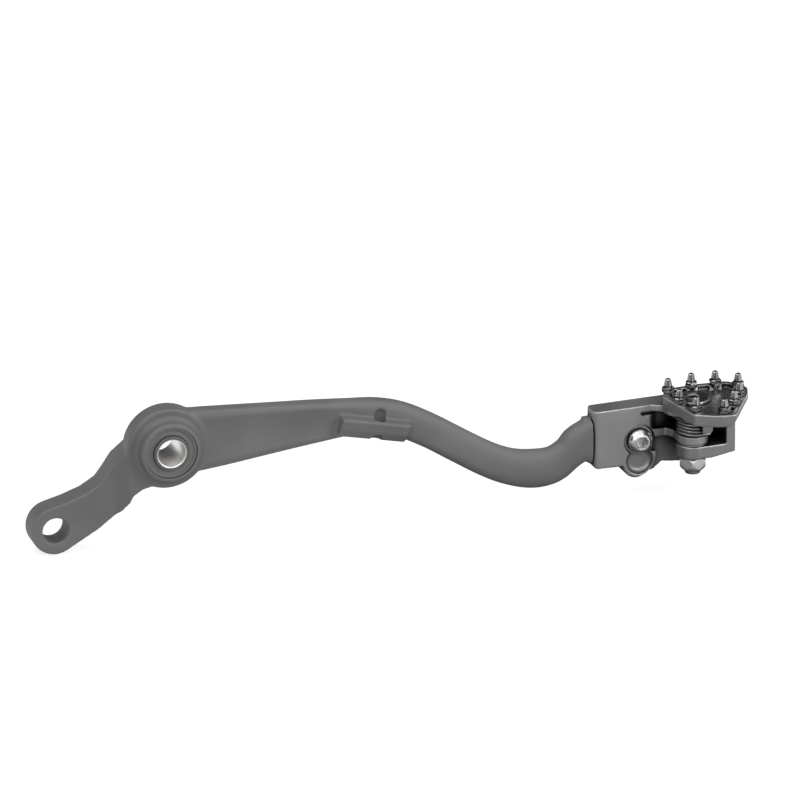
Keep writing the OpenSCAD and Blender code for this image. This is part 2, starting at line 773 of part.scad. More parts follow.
module nut_locking_ring() {
    color([0.25, 0.27, 0.3]) at_pad() translate([0, 0, lower_lip_foot - nut_hex_h]) mirror([0, 0, 1])
        translate([0, 0, seat_gap])
            tube(bolt_r + ring_w - seat_gap, bolt_r + seat_gap, ring_h - 2 * seat_gap);
}

module spring_sleeve() {
    color([0.45, 0.45, 0.45]) at_pad() translate([0, 0, tongue_top + slide_gap / 2])
        tube(sleeve_r, bolt_r + run_gap, lip_foot - tongue_top - slide_gap);
}

module thrust_washer() {
    color([0.5, 0.5, 0.5]) at_pad() translate([0, 0, tongue_foot - thrust_t - slide_gap / 2])
        tube(eye_r - 0.6, bolt_r + run_gap, thrust_t);
}

// Torsion spring: a helix swept in a loop, with a straight leg at each end
module torsion_spring() {
    per_turn = 20;
    total = spring_turns * per_turn;
    leg_angle = -75;
    start = leg_angle - 360 * spring_turns;
    drop = (coil_foot - coil_top) / total;
    upper_leg = 8;
    lower_leg = 5;
    function turn_at(i) = start + 360 * i / per_turn;
    function ring(i, leg) =
        let (t = turn_at(i), radial = [cos(t), sin(t), 0], tangent = [-sin(t), cos(t), 0])
        [for (k = [0 : 7])
            let (a = -45 * k)
            coil_r * radial + leg * tangent + [0, 0, coil_top + drop * i]
            + wire_d / 2 * (cos(a) * radial + [0, 0, sin(a)])];
    color([0.5, 0.5, 0.5]) at_pad()
        skin(concat([ring(0, -upper_leg)], [for (i = [0 : total]) ring(i, 0)], [ring(total, lower_leg)]));
}

// Grip stud: threaded foot, hex collar, neck and cut-off cone
module grip_stud(i) {
    base = pad_top + stud_nut_h;
    color([0.6, 0.6, 0.6]) at_pad() translate([studs[i - 1][0], studs[i - 1][1], 0]) {
        translate([0, 0, pad_foot + 0.4])
            cylinder(r = stud_d / 2, h = base - pad_foot, $fn = 32);
        translate([0, 0, base]) rotate([0, 0, 20 * i])
            cylinder(r = stud_af / 2 / cos(30), h = stud_collar_h, $fn = 6);
        translate([0, 0, base + stud_collar_h - 0.2]) rotate_extrude($fn = 32)
            polygon([
                [0, 0], [stud_base_d / 2 - 0.5, 0], [stud_base_d / 2 - 0.5, 0.6],
                [stud_base_d / 2, 1], [stud_tip_d / 2, stud_cone_h - 0.2],
                [stud_tip_d / 2 - 0.4, stud_cone_h + 0.2], [0, stud_cone_h + 0.2]
            ]);
    }
}

module stud_nut(i) {
    color([0.5, 0.5, 0.5]) at_pad() translate([studs[i - 1][0], studs[i - 1][1], pad_top])
        rotate([0, 0, 20 * i + 12]) difference() {
            cylinder(r = stud_af / 2 / cos(30), h = stud_nut_h, $fn = 6);
            translate([0, 0, -cut]) cylinder(r = stud_d / 2 + seat_gap, h = stud_nut_h + 2 * cut, $fn = 32);
        }
}

pedal_arm();
pivot_bush();
pivot_seal_outer();
pivot_seal_inner();
tip_block();
clamp_screw();
clamp_washer();
tip_pad();
pad_pivot_bolt();
pad_lock_nut();
nut_locking_ring();
spring_sleeve();
thrust_washer();
torsion_spring();
for (i = [1 : 9]) {
    grip_stud(i);
    stud_nut(i);
}
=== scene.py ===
import bmesh
import bpy
from math import acos, atan2, cos, pi, radians, sin, tan
from mathutils import Matrix, Vector


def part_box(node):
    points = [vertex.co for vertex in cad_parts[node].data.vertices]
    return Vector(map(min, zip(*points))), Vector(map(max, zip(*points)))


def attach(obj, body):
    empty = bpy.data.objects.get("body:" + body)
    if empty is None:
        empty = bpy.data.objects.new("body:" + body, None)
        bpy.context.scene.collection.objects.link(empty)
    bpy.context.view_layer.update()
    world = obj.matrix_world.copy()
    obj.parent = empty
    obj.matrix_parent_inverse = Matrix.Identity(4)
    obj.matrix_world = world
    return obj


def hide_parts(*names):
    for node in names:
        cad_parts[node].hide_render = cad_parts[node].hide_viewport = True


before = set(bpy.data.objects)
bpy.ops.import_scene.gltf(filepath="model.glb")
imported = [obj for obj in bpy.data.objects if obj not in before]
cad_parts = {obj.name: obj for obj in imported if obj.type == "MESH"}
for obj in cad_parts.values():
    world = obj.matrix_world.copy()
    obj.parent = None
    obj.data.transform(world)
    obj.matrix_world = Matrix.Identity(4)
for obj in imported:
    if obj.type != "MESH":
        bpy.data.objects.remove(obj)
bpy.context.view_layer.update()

# Studio: a pale table in a plain bright room that shows as white, a soft key light to the
# front right, a wide one above and a weaker one at the front, and dark cards that only the
# metal mirrors. The camera stands high in front of the outboard face with a long lens.
scene = bpy.context.scene
scene.view_settings.view_transform = "Standard"
foot_gap = 0.0004
table_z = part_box("pedal_arm")[0].z - foot_gap


def ray_share(tree):
    """Share of rays for which the bright room is seen: from the camera, in metal or through glass."""
    path = tree.nodes.new("ShaderNodeLightPath")
    most = tree.nodes.new("ShaderNodeMath")
    most.operation = "MAXIMUM"
    tree.links.new(path.outputs["Is Camera Ray"], most.inputs[0])
    tree.links.new(path.outputs["Is Glossy Ray"], most.inputs[1])
    both = tree.nodes.new("ShaderNodeMath")
    both.operation = "MAXIMUM"
    tree.links.new(most.outputs[0], both.inputs[0])
    tree.links.new(path.outputs["Is Transmission Ray"], both.inputs[1])
    return both.outputs[0]


room = bpy.data.worlds.new("room")
room.use_nodes = True
scene.world = room
tree = room.node_tree
tree.nodes.clear()
seen = tree.nodes.new("ShaderNodeBackground")
seen.inputs["Color"].default_value = (1, 1, 1, 1)
fill = tree.nodes.new("ShaderNodeBackground")
room_grey = 0.5
fill.inputs["Color"].default_value = (room_grey, room_grey, room_grey, 1)
mix = tree.nodes.new("ShaderNodeMixShader")
tree.links.new(ray_share(tree), mix.inputs["Fac"])
tree.links.new(fill.outputs[0], mix.inputs[1])
tree.links.new(seen.outputs[0], mix.inputs[2])
tree.links.new(mix.outputs[0], tree.nodes.new("ShaderNodeOutputWorld").inputs["Surface"])

paper = bpy.data.materials.new("pale_table")
paper.use_nodes = True
tree = paper.node_tree
tree.nodes.clear()
share = ray_share(tree)
table_grey, table_grey_seen, table_glow = 0.5, 0.34, 0.8
lit = tree.nodes.new("ShaderNodeMapRange")
lit.inputs["To Min"].default_value = table_grey
lit.inputs["To Max"].default_value = table_grey_seen
tree.links.new(share, lit.inputs["Value"])
matte = tree.nodes.new("ShaderNodeBsdfDiffuse")
tree.links.new(lit.outputs["Result"], matte.inputs["Color"])
glow_level = tree.nodes.new("ShaderNodeMath")
glow_level.operation = "MULTIPLY"
glow_level.inputs[1].default_value = table_glow
tree.links.new(share, glow_level.inputs[0])
glow = tree.nodes.new("ShaderNodeEmission")
tree.links.new(glow_level.outputs[0], glow.inputs["Strength"])
both = tree.nodes.new("ShaderNodeAddShader")
tree.links.new(matte.outputs[0], both.inputs[0])
tree.links.new(glow.outputs[0], both.inputs[1])
tree.links.new(both.outputs[0], tree.nodes.new("ShaderNodeOutputMaterial").inputs["Surface"])


def flat_sheet(name, width, depth, height=0.0):
    """A level rectangle about the origin."""
    w, d = width / 2, depth / 2
    made = bpy.data.objects.new(name, bpy.data.meshes.new(name))
    made.data.from_pydata([(-w, -d, height), (w, -d, height), (w, d, height), (-w, d, height)],
                          [], [(0, 1, 2, 3)])
    return made


table_width = 18
table = flat_sheet("table", table_width, table_width, table_z)
table.data.materials.append(paper)
scene.collection.objects.link(table)

# the camera and the lamps look at this point, the middle of the picture
aim = Vector((0.122, 0, 0.0105))


def lamp(name, place, size, watts):
    """A soft rectangular light that points at the middle of the pedal."""
    light = bpy.data.lights.new(name, "AREA")
    light.shape = "RECTANGLE"
    light.size, light.size_y = size
    light.energy = watts
    held = bpy.data.objects.new(name, light)
    held.location = place
    held.rotation_euler = (aim - Vector(place)).to_track_quat("-Z", "Y").to_euler()
    scene.collection.objects.link(held)


def card(name, place, size, shade=0.03, flat=False):
    """A dark studio card that only shows in reflections."""
    held = flat_sheet(name, *size)
    held.location = place
    if not flat:
        held.rotation_euler = (aim - Vector(place)).to_track_quat("-Z", "Y").to_euler()
    dark = bpy.data.materials.new(name)
    dark.use_nodes = True
    dark.node_tree.nodes["Principled BSDF"].inputs["Base Color"].default_value = (shade, shade, shade, 1)
    held.data.materials.append(dark)
    held.visible_camera = False
    held.visible_diffuse = False
    held.visible_shadow = False
    scene.collection.objects.link(held)


lamp("key_light", (1.1, -0.9, 0.7), (0.7, 0.7), 7.5)
lamp("top_light", (-0.5, 0.1, 1.3), (1.4, 0.8), 6)
lamp("front_fill", (-0.45, -1.5, 0.85), (0.9, 0.6), 9.5)
card("back_card", (0.2, 1.3, 1.0), (3.4, 2.4))
card("left_card", (-1.2, -0.1, 0.4), (1.6, 1.2))
card("lens_card", tuple(aim + Vector((-0.264, -0.892, 0.3665)) * 1.4), (0.55, 0.8))
card("horizon_card", tuple(aim + Vector((-0.28, -0.96, 0.02)) * 1.2), (1.1, 0.5))
on_table = table_z + 0.0005
card("floor_card", (0.26, -0.33, on_table), (0.9, 0.6), shade=0.26, flat=True)
card("far_floor_card", (0.25, 0.27, on_table), (0.28, 0.6), shade=0.04, flat=True)

azimuth = radians(-16.5)
elevation = radians(21.5)
distance = 8.8889
long_lens = 800
back = Vector((sin(azimuth) * cos(elevation), -cos(azimuth) * cos(elevation), sin(elevation)))
camera = bpy.data.objects.new("camera", bpy.data.cameras.new("camera"))
camera.data.lens = long_lens
camera.location = aim + back * distance
camera.rotation_euler = (-back).to_track_quat("-Z", "Y").to_euler()
scene.collection.objects.link(camera)
scene.camera = camera

# Arm: one forging of aluminium alloy with its boss, rear lug, hook ledge and round neck,
# blasted and coated a satin dark grey. Only the bore, the seal pockets and the lug's hole
# are machined, so those edges are crisp and all others are soft.
MM = 0.001


def piece(name, verts, faces, place=Matrix(), sharp=35):
    """A mesh object from points in millimetres in the frame of its carrier."""
    mesh = bpy.data.meshes.new(name)
    mesh.from_pydata([tuple(place @ Vector(v) * MM) for v in verts], [], faces)
    made = bpy.data.objects.new(name, mesh)
    scene.collection.objects.link(made)
    tidy(made, sharp)
    return made


def tidy(made, sharp=35):
    """Closes the seams, turns all faces outwards and shades the soft edges smooth."""
    b = bmesh.new()
    b.from_mesh(made.data)
    bmesh.ops.remove_doubles(b, verts=b.verts, dist=2e-6)
    bmesh.ops.recalc_face_normals(b, faces=b.faces)
    b.to_mesh(made.data)
    b.free()
    made.data.shade_smooth()
    made.data.set_sharp_from_angle(angle=radians(sharp))


def settle(made):
    """Makes the modifiers of a piece part of its mesh."""
    graph = bpy.context.evaluated_depsgraph_get()
    mesh = bpy.data.meshes.new_from_object(made.evaluated_get(graph))
    made.modifiers.clear()
    made.data = mesh
    return made


def solid_copy(node, name):
    """A free copy of a CAD solid."""
    made = bpy.data.objects.new(name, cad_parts[node].data.copy())
    made.data.materials.clear()
    scene.collection.objects.link(made)
    tidy(made)
    return made


def join(made, other):
    """Adds the mesh of another object and removes that object."""
    b = bmesh.new()
    b.from_mesh(made.data)
    b.from_mesh(other.data)
    b.to_mesh(made.data)
    b.free()
    bpy.data.objects.remove(other)


def slab(name, outline_a, outline_b, place=Matrix()):
    """A closed slab between two outlines of as many points."""
    n = len(outline_a)
    sides = [(k, (k + 1) % n, n + (k + 1) % n, n + k) for k in range(n)]
    return piece(name, [*outline_a, *outline_b], [tuple(range(n)), tuple(range(n, 2 * n)), *sides], place)


def skin_faces(rings, around):
    """The four-sided faces between rings of as many points."""
    return [(i * around + k, i * around + (k + 1) % around,
             (i + 1) * around + (k + 1) % around, (i + 1) * around + k)
            for i in range(len(rings) - 1) for k in range(around)]


def lathe(name, profile, place=Matrix(), steps=96, sharp=35):
    """Turns a profile of radius and height round the Z axis. Clear of the axis, it makes a ring."""
    if profile[0][0] > 0:
        profile = [*profile, profile[0]]
    rings = [[(r * cos(2 * pi * k / steps), r * sin(2 * pi * k / steps), z) for k in range(steps)]
             for r, z in profile]
    return piece(name, [v for ring in rings for v in ring], skin_faces(rings, steps), place, sharp)


def rod(name, radius, low, high, place):
    """A round bar between two heights."""
    return lathe(name, [(0, low), (radius, low), (radius, high), (0, high)], place)


def eased(points, radius, closed=True, steps=4):
    """Rounds the corners of an outline or a profile, with one radius or one for each corner."""
    out = []
    count = len(points)
    for i, p in enumerate(points):
        r = radius[i] if isinstance(radius, list) else radius
        if r == 0 or (not closed and i in (0, count - 1)):
            out.append(tuple(p))
            continue
        p = Vector(p)
        u = (Vector(points[i - 1]) - p).normalized()
        w = (Vector(points[(i + 1) % count]) - p).normalized()
        half = acos(max(-1, min(1, u.dot(w)))) / 2
        mid = p + (u + w).normalized() * r / sin(half)
        a = p + u * r / tan(half) - mid
        c = p + w * r / tan(half) - mid
        turn = atan2(a.x * c.y - a.y * c.x, a.dot(c))
        for k in range(steps + 1):
            t = turn * k / steps
            out.append((mid.x + a.x * cos(t) - a.y * sin(t), mid.y + a.x * sin(t) + a.y * cos(t)))
    return out


def cut_with(made, cutter):
    """Cuts a piece with another and removes the cutter."""
    cut = made.modifiers.new("cut", "BOOLEAN")
    cut.operation = "DIFFERENCE"
    cut.object = cutter
    cut.solver = "EXACT"
    settle(made)
    bpy.data.objects.remove(cutter)


def one_skin(made, voxel, rounds):
    """Makes joined shapes one skin of small even faces, and softens its edges over some rounds."""
    skin = made.modifiers.new("one skin", "REMESH")
    skin.mode = "VOXEL"
    skin.voxel_size = voxel * MM
    soft = made.modifiers.new("soft edges", "SMOOTH")
    soft.factor = 0.5
    soft.iterations = rounds
    settle(made)


boss_half = 12
boss_fill_r = 13.9
seal_pocket_r = 13.6
seal_floor = 7.6
bush_seat_r = 9.02
lug_t = 13.3
lug_fill_r = 7.9
lug_hole_r = 6.7
lug_chamfer = 0.8
tool_past = 2
hook_r = 3.2
hook_arch = 2.6
outboard = Matrix.Rotation(radians(90), 4, "X")
lug_eye = Matrix.Translation((-56.8, lug_t, -39.9)) @ outboard
ledge = Matrix.Translation((89.6, 0, 7.8)) @ Matrix.Rotation(radians(11.6), 4, "Y")
hook = ledge @ Matrix.Translation((20.5, -6.7, 0))

# the machined places are filled before the forging is softened, and cut crisp after it
arm = solid_copy("pedal_arm", "forged_arm")
join(arm, rod("fill", boss_fill_r, -boss_half, boss_half, outboard))
join(arm, rod("fill", lug_fill_r, 0, lug_t, lug_eye))
ledge_side = [(-2, 0.4), (-11.1, 0), (-11.6, -0.5), (-11.4, -1.4), (-10.4, -6), (-6.3, -10.8), (-2, -10.8)]
join(arm, slab("fill", *([(x, y, z) for y, z in ledge_side] for x in (16.5, 24.5)), ledge))
one_skin(arm, 0.58, 7)
cut_with(arm, lathe("tool", [
    (0, -20), (seal_pocket_r, -20), (seal_pocket_r, -seal_floor), (bush_seat_r, -seal_floor),
    (bush_seat_r, seal_floor), (seal_pocket_r, seal_floor), (seal_pocket_r, 20), (0, 20)], outboard))
lug_mouth_r = lug_hole_r + lug_chamfer + tool_past
cut_with(arm, lathe("tool", [
    (0, -tool_past), (lug_mouth_r, -tool_past), (lug_hole_r, lug_chamfer), (lug_hole_r, lug_t - lug_chamfer),
    (lug_mouth_r, lug_t + tool_past), (0, lug_t + tool_past)], lug_eye))
hook_crown = [(hook_r * cos(radians(15 * i)), hook_arch + hook_r * sin(radians(15 * i))) for i in range(6)]
cut_with(arm, lathe("tool", [(0, -16), (hook_r, -16), *hook_crown, (0, hook_arch + hook_r)], hook))
tidy(arm, 40)


def group_tree(name, inputs, outputs):
    """An empty shader group with named sockets."""
    group = bpy.data.node_groups.new(name, "ShaderNodeTree")
    for label, value in inputs:
        group.interface.new_socket(label, in_out="INPUT", socket_type="NodeSocketFloat").default_value = value
    for label in outputs:
        group.interface.new_socket(label, in_out="OUTPUT", socket_type="NodeSocketFloat")
    return group, group.nodes.new("NodeGroupInput"), group.nodes.new("NodeGroupOutput")


def reckon(tree, operation, *values):
    """A Math node whose inputs are numbers or sockets."""
    node = tree.nodes.new("ShaderNodeMath")
    node.operation = operation
    for i, value in enumerate(values):
        if isinstance(value, (int, float)):
            node.inputs[i].default_value = value
        else:
            tree.links.new(value, node.inputs[i])
    return node.outputs[0]


def spread(tree, value, low, high, to_low=0.0, to_high=1.0):
    """Stretches a value from one range to another and holds it there."""
    node = tree.nodes.new("ShaderNodeMapRange")
    node.inputs["From Min"].default_value = low
    node.inputs["From Max"].default_value = high
    node.inputs["To Min"].default_value = to_low
    node.inputs["To Max"].default_value = to_high
    tree.links.new(value, node.inputs["Value"])
    return node.outputs["Result"]


# blasted_skin gives the fine pits of a blasted and coated surface and its slow cloudy tone
blasted_skin, given, result = group_tree("blasted_skin", [("Per Metre", 1800)], ["Height", "Cloud"])
where = blasted_skin.nodes.new("ShaderNodeTexCoord")
pits = blasted_skin.nodes.new("ShaderNodeTexNoise")
pits.inputs["Detail"].default_value = 4
pits.inputs["Roughness"].default_value = 0.62
cloud = blasted_skin.nodes.new("ShaderNodeTexNoise")
cloud.inputs["Scale"].default_value = 34
cloud.inputs["Detail"].default_value = 5
blasted_skin.links.new(where.outputs["Object"], pits.inputs["Vector"])
blasted_skin.links.new(where.outputs["Object"], cloud.inputs["Vector"])
blasted_skin.links.new(given.outputs["Per Metre"], pits.inputs["Scale"])
blasted_skin.links.new(pits.outputs["Fac"], result.inputs["Height"])
blasted_skin.links.new(spread(blasted_skin, cloud.outputs["Fac"], 0.3, 0.7), result.inputs["Cloud"])

# worn_and_highlit_edge is bright near an edge: partly wear, where the coat is rubbed through, and partly a
# painted highlight along the edge
worn_and_highlit_edge, given, result = group_tree("worn_and_highlit_edge", [("Reach", 0.0006), ("Patchy", 0.5)], ["Mask"])
edge = worn_and_highlit_edge.nodes.new("ShaderNodeBevel")
edge.samples = 6
facing = worn_and_highlit_edge.nodes.new("ShaderNodeNewGeometry")
turned = worn_and_highlit_edge.nodes.new("ShaderNodeVectorMath")
turned.operation = "DOT_PRODUCT"
worn_and_highlit_edge.links.new(given.outputs["Reach"], edge.inputs["Radius"])
worn_and_highlit_edge.links.new(edge.outputs["Normal"], turned.inputs[0])
worn_and_highlit_edge.links.new(facing.outputs["Normal"], turned.inputs[1])
near_edge = spread(worn_and_highlit_edge, turned.outputs["Value"], 0.995, 0.86)
where = worn_and_highlit_edge.nodes.new("ShaderNodeTexCoord")
patch = worn_and_highlit_edge.nodes.new("ShaderNodeTexNoise")
patch.inputs["Scale"].default_value = 260
patch.inputs["Detail"].default_value = 5
worn_and_highlit_edge.links.new(where.outputs["Object"], patch.inputs["Vector"])
patchy = spread(worn_and_highlit_edge, patch.outputs["Fac"], 0.38, 0.62)
outside_patch = reckon(worn_and_highlit_edge, "SUBTRACT", 1.0, patchy)
left_out = reckon(worn_and_highlit_edge, "MULTIPLY", given.outputs["Patchy"], outside_patch)
kept = reckon(worn_and_highlit_edge, "SUBTRACT", 1.0, left_out)
worn_and_highlit_edge.links.new(reckon(worn_and_highlit_edge, "MULTIPLY", near_edge, kept), result.inputs["Mask"])

# painted_recess_shade is painted shade: it darkens the colour where a pocket or a gap is closed in, where
# shade falls
painted_recess_shade, given, result = group_tree("painted_recess_shade", [("Distance", 0.008), ("Darkest", 0.35)], ["Shade"])
openness = painted_recess_shade.nodes.new("ShaderNodeAmbientOcclusion")
openness.samples = 12
painted_recess_shade.links.new(given.outputs["Distance"], openness.inputs["Distance"])
closed_in = spread(painted_recess_shade, openness.outputs["AO"], 0.85, 0.35)
most_lost = reckon(painted_recess_shade, "SUBTRACT", 1.0, given.outputs["Darkest"])
lost = reckon(painted_recess_shade, "MULTIPLY", closed_in, most_lost)
painted_recess_shade.links.new(reckon(painted_recess_shade, "SUBTRACT", 1.0, lost), result.inputs["Shade"])


def finish(name, colour, edge_wear_highlight, roughness, metallic, pit_depth=0.00001, pits_per_metre=2500,
           edge_reach=0.0003, patchy=0.5, cloud_depth=0.16, recess_shade=1.0, recess_shade_reach=0.008, specular=0.5):
    """A finish: its own shader, with pits, a cloudy tone, edges lightened partly by wear and partly as a
    painted highlight, and painted shade in its recesses.
    """
    rough_spread = 0.08
    made = bpy.data.materials.new(name)
    made.use_nodes = True
    tree = made.node_tree
    shader = tree.nodes["Principled BSDF"]
    shader.inputs["Metallic"].default_value = metallic
    shader.inputs["Specular IOR Level"].default_value = specular
    skin = tree.nodes.new("ShaderNodeGroup")
    skin.node_tree = blasted_skin
    skin.inputs["Per Metre"].default_value = pits_per_metre
    # the edges take a lighter colour, partly wear and partly a painted highlight
    edge_mark = tree.nodes.new("ShaderNodeGroup")
    edge_mark.node_tree = worn_and_highlit_edge
    edge_mark.inputs["Reach"].default_value = edge_reach
    edge_mark.inputs["Patchy"].default_value = patchy
    tone = tree.nodes.new("ShaderNodeMix")
    tone.data_type = "RGBA"
    tone.inputs["A"].default_value = (*[c * (1 - cloud_depth) for c in colour], 1)
    tone.inputs["B"].default_value = (*[c * (1 + cloud_depth) for c in colour], 1)
    tree.links.new(skin.outputs["Cloud"], tone.inputs["Factor"])
    edge_blend = tree.nodes.new("ShaderNodeMix")
    edge_blend.data_type = "RGBA"
    edge_blend.inputs["B"].default_value = (*edge_wear_highlight, 1)
    tree.links.new(tone.outputs["Result"], edge_blend.inputs["A"])
    tree.links.new(edge_mark.outputs["Mask"], edge_blend.inputs["Factor"])
    shown = edge_blend.outputs["Result"]
    # painted shade: a recess_shade under 1 darkens the colour in pockets and gaps, where shade falls
    if recess_shade < 1:
        recess_shade_node = tree.nodes.new("ShaderNodeGroup")
        recess_shade_node.node_tree = painted_recess_shade
        recess_shade_node.inputs["Distance"].default_value = recess_shade_reach
        recess_shade_node.inputs["Darkest"].default_value = recess_shade
        dimmed = tree.nodes.new("ShaderNodeMix")
        dimmed.data_type = "RGBA"
        dimmed.blend_type = "MULTIPLY"
        dimmed.inputs["Factor"].default_value = 1
        tree.links.new(shown, dimmed.inputs["A"])
        tree.links.new(recess_shade_node.outputs["Shade"], dimmed.inputs["B"])
        shown = dimmed.outputs["Result"]
    tree.links.new(shown, shader.inputs["Base Color"])
    rough = spread(tree, skin.outputs["Cloud"], 0, 1, roughness - rough_spread, roughness + rough_spread)
    tree.links.new(rough, shader.inputs["Roughness"])
    bump = tree.nodes.new("ShaderNodeBump")
    bump.inputs["Distance"].default_value = pit_depth
    bump.inputs["Strength"].default_value = 1
    tree.links.new(skin.outputs["Height"], bump.inputs["Height"])
    tree.links.new(bump.outputs["Normal"], shader.inputs["Normal"])
    return made


# painted shade: the forging is darkened a little in its pockets and gaps
coated_forging = finish("coated_forging", (0.15, 0.15, 0.152), (0.24, 0.24, 0.245), roughness=0.56,
                        metallic=0.1, pit_depth=0.00005, pits_per_metre=1500, edge_reach=0.0009,
                        cloud_depth=0.1, recess_shade=0.8, specular=0.35)
arm.data.materials.append(coated_forging)
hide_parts("pedal_arm")
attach(arm, "pedal")

# Pivot: a sintered bush pressed into the boss, its bore worn bright, and a rubber dust
# seal with a raised lip in the pocket on either side.
bore_r = 7
bush_r = 9
bush_half = 12.4
bore_edge = 0.55
bush = lathe("pivot_bush_ring", eased(
    [(bore_r, -bush_half), (bush_r, -bush_half), (bush_r, bush_half), (bore_r, bush_half)],
    [0.6, 0.3, 0.3, 0.6]), outboard, 128)
bush.data.materials.append(finish("sintered_bush", (0.86, 0.85, 0.83), (0.9, 0.9, 0.89), roughness=0.4,
                                  metallic=1.0, pits_per_metre=4000, edge_reach=0.0004, patchy=0.2))
# painted shade: the bush's end faces, deep in the seal pockets, get a much darker finish than its bore
bush.data.materials.append(finish("sintered_end_painted_shade", (0.13, 0.128, 0.125), (0.2, 0.2, 0.2), roughness=0.5,
                                  metallic=0.3, pit_depth=0.00002, pits_per_metre=4000, patchy=0.3))
for face in bush.data.polygons:
    from_axis = Vector((face.center.x, face.center.z)).length
    face.material_index = int(from_axis > (bore_r + bore_edge) * MM)
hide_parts("pivot_bush")
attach(bush, "pedal")

rubber = finish("seal_rubber", (0.165, 0.165, 0.167), (0.16, 0.16, 0.16), roughness=0.6, metallic=0.0,
                pit_depth=0.00002, pits_per_metre=3000, specular=0.3)
seal_side = [(9.3, 0.1), (13.58, 0.1), (13.58, 3.4), (12.2, 3.4), (11.7, 2.5), (10.3, 2.5),
             (9.7, 3.4), (9.3, 3.2)]
seal_rounds = [0.1, 0.1, 0.5, 0.3, 0.4, 0.4, 0.2, 0.1]
for name, turn in (("outer", 0), ("inner", 180)):
    at = Matrix.Rotation(radians(turn), 4, "Z") @ outboard @ Matrix.Translation((0, 0, seal_floor))
    seal = lathe("dust_seal_" + name, eased(seal_side, seal_rounds), at, 128)
    seal.data.materials.append(rubber)
    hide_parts("pivot_seal_" + name)
    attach(seal, "pedal")

# Tip block: milled from aluminium bar, slotted over the arm's tang, with a lip and a tongue
# that carry the pad's pivot bolt. It is anodised dark grey, and its milled edges are lightly
# broken. Under the clamp screw its face swells into a round lobe with a dished end.
block_place = Matrix.Translation((221.5, 0, 0)) @ Matrix.Rotation(radians(4.5), 4, "Z")
pad_place = block_place @ Matrix.Translation((48.9, -16.7, 0)) @ Matrix.Rotation(radians(-4.5), 4, "Z")
rough_voxel = 0.3
fine_voxel = 0.38


def side_slab(outline, y_out, y_in):
    """A plate in the block's frame from its side outline, between two depths."""
    return slab("plate", *([(x, y, z) for x, z in outline] for y in (y_out, y_in)), block_place)


def in_face(x, z):
    """The place of a round feature in the block's outboard side, its axis pointing outboard."""
    return block_place @ Matrix.Translation((x, 0, z)) @ outboard


block_face = -5.75
slot_face = -2.25
beyond_face = 8
lobe_x, lobe_z, lobe_r, lobe_root = 23.3, -36, 7.62, 2
lobe_edge = [(33.6, -30.6), (33.6, -33), (33, -36), (31.9, -38.3), (30.2, -40.3), (27.8, -42.1),
             (25.1, -43.3)]
lobe_front = [(28, -30.6), *lobe_edge[:-1], (25, -41.5)]
lobe_neck = [(16.9, -27), (31.8, -27), (31.8, -35), (28, -40), (17, -36.1)]
heel = [(44, -24), (44, -38.95), (48.4, -39.5), (48.4, -24)]
heel_in = 5.6
block = solid_copy("tip_block", "clamp_block")
for fill in (side_slab(lobe_front, block_face, -lobe_root),
             rod("lobe", lobe_r, lobe_root, -block_face, in_face(lobe_x, lobe_z)),
             side_slab(lobe_neck, block_face, -lobe_root),
             side_slab(heel, slot_face, heel_in)):
    join(block, fill)
one_skin(block, rough_voxel, 0)

# the lower lip of the slot slopes, and the rim outside the lobe is milled away
slit_lip = [(-6.43, -9.47), (-6.39, -12.43), (-4.31, -9.93)]
cut_with(block, slab("tool", *([(x, y, z) for y, z in slit_lip] for x in (26.43, 33.07)), block_place))
outside_lobe = [(24, -45.5), (24, -43.75), *lobe_edge[:1:-1], (36, -36), (36, -45.5)]
cut_with(block, side_slab(outside_lobe, -7, -2.3))
screw_x, screw_z = 24.6, -24
counterbore_r, counterbore_floor = 8.05, 3.15
cut_with(block, rod("tool", counterbore_r, counterbore_floor, beyond_face, in_face(screw_x, screw_z)))


def edge_roll(x, radius, low, high, steps=8):
    """Cutter that rolls the upright edge at x over into the pocket."""
    quarter = [pi / 2 * k / steps for k in range(steps + 1)]
    rolled = [(x - radius * (1 - cos(t)), block_face + radius * (1 - sin(t))) for t in quarter]
    plan = [(x + 0.3, block_face + radius), *rolled, (x - radius, -6.4), (x + 0.3, -6.4)]
    return slab("tool", *([(px, py, z) for px, py in plan] for z in (low, high)), block_place)


pocket_edge = 31.85
cut_with(block, edge_roll(pocket_edge, 2.2, -18.75, -10.7))
cut_with(block, edge_roll(pocket_edge, 3.2, -30.5, -23.15))

dish_x, dish_z, dish_floor, dish_flat_r, dish_bend = 24.7, -34.8, 2.95, 4.3, 2.9
bend = [radians(10 * k) for k in range(10)]
dish_wall = [(dish_flat_r + dish_bend * sin(t), dish_floor + dish_bend * (1 - cos(t))) for t in bend]
dish_r = dish_flat_r + dish_bend
cut_with(block, lathe("tool", [(0, dish_floor), *dish_wall, (dish_r, beyond_face), (0, beyond_face)],
                      in_face(dish_x, dish_z)))
one_skin(block, fine_voxel, 2)
tidy(block, 60)
# painted shade: the block's pockets and the gaps under its lip and tongue are darkened nearly to black
block.data.materials.append(finish("anodised_block", (0.41, 0.41, 0.415), (0.6, 0.6, 0.61), roughness=0.44,
                                   metallic=0.9, pit_depth=0.00002, pits_per_metre=2600, edge_reach=0.0005,
                                   patchy=0.45, cloud_depth=0.06, recess_shade=0.02, recess_shade_reach=0.022))
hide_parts("tip_block")
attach(block, "pedal")

# Clamp screw: a polished button-head screw with a hex socket, on a plain washer in the
# block's counterbore.
head_seat = 4.05
screw_place = block_place @ Matrix.Translation((screw_x, -head_seat, screw_z)) @ outboard


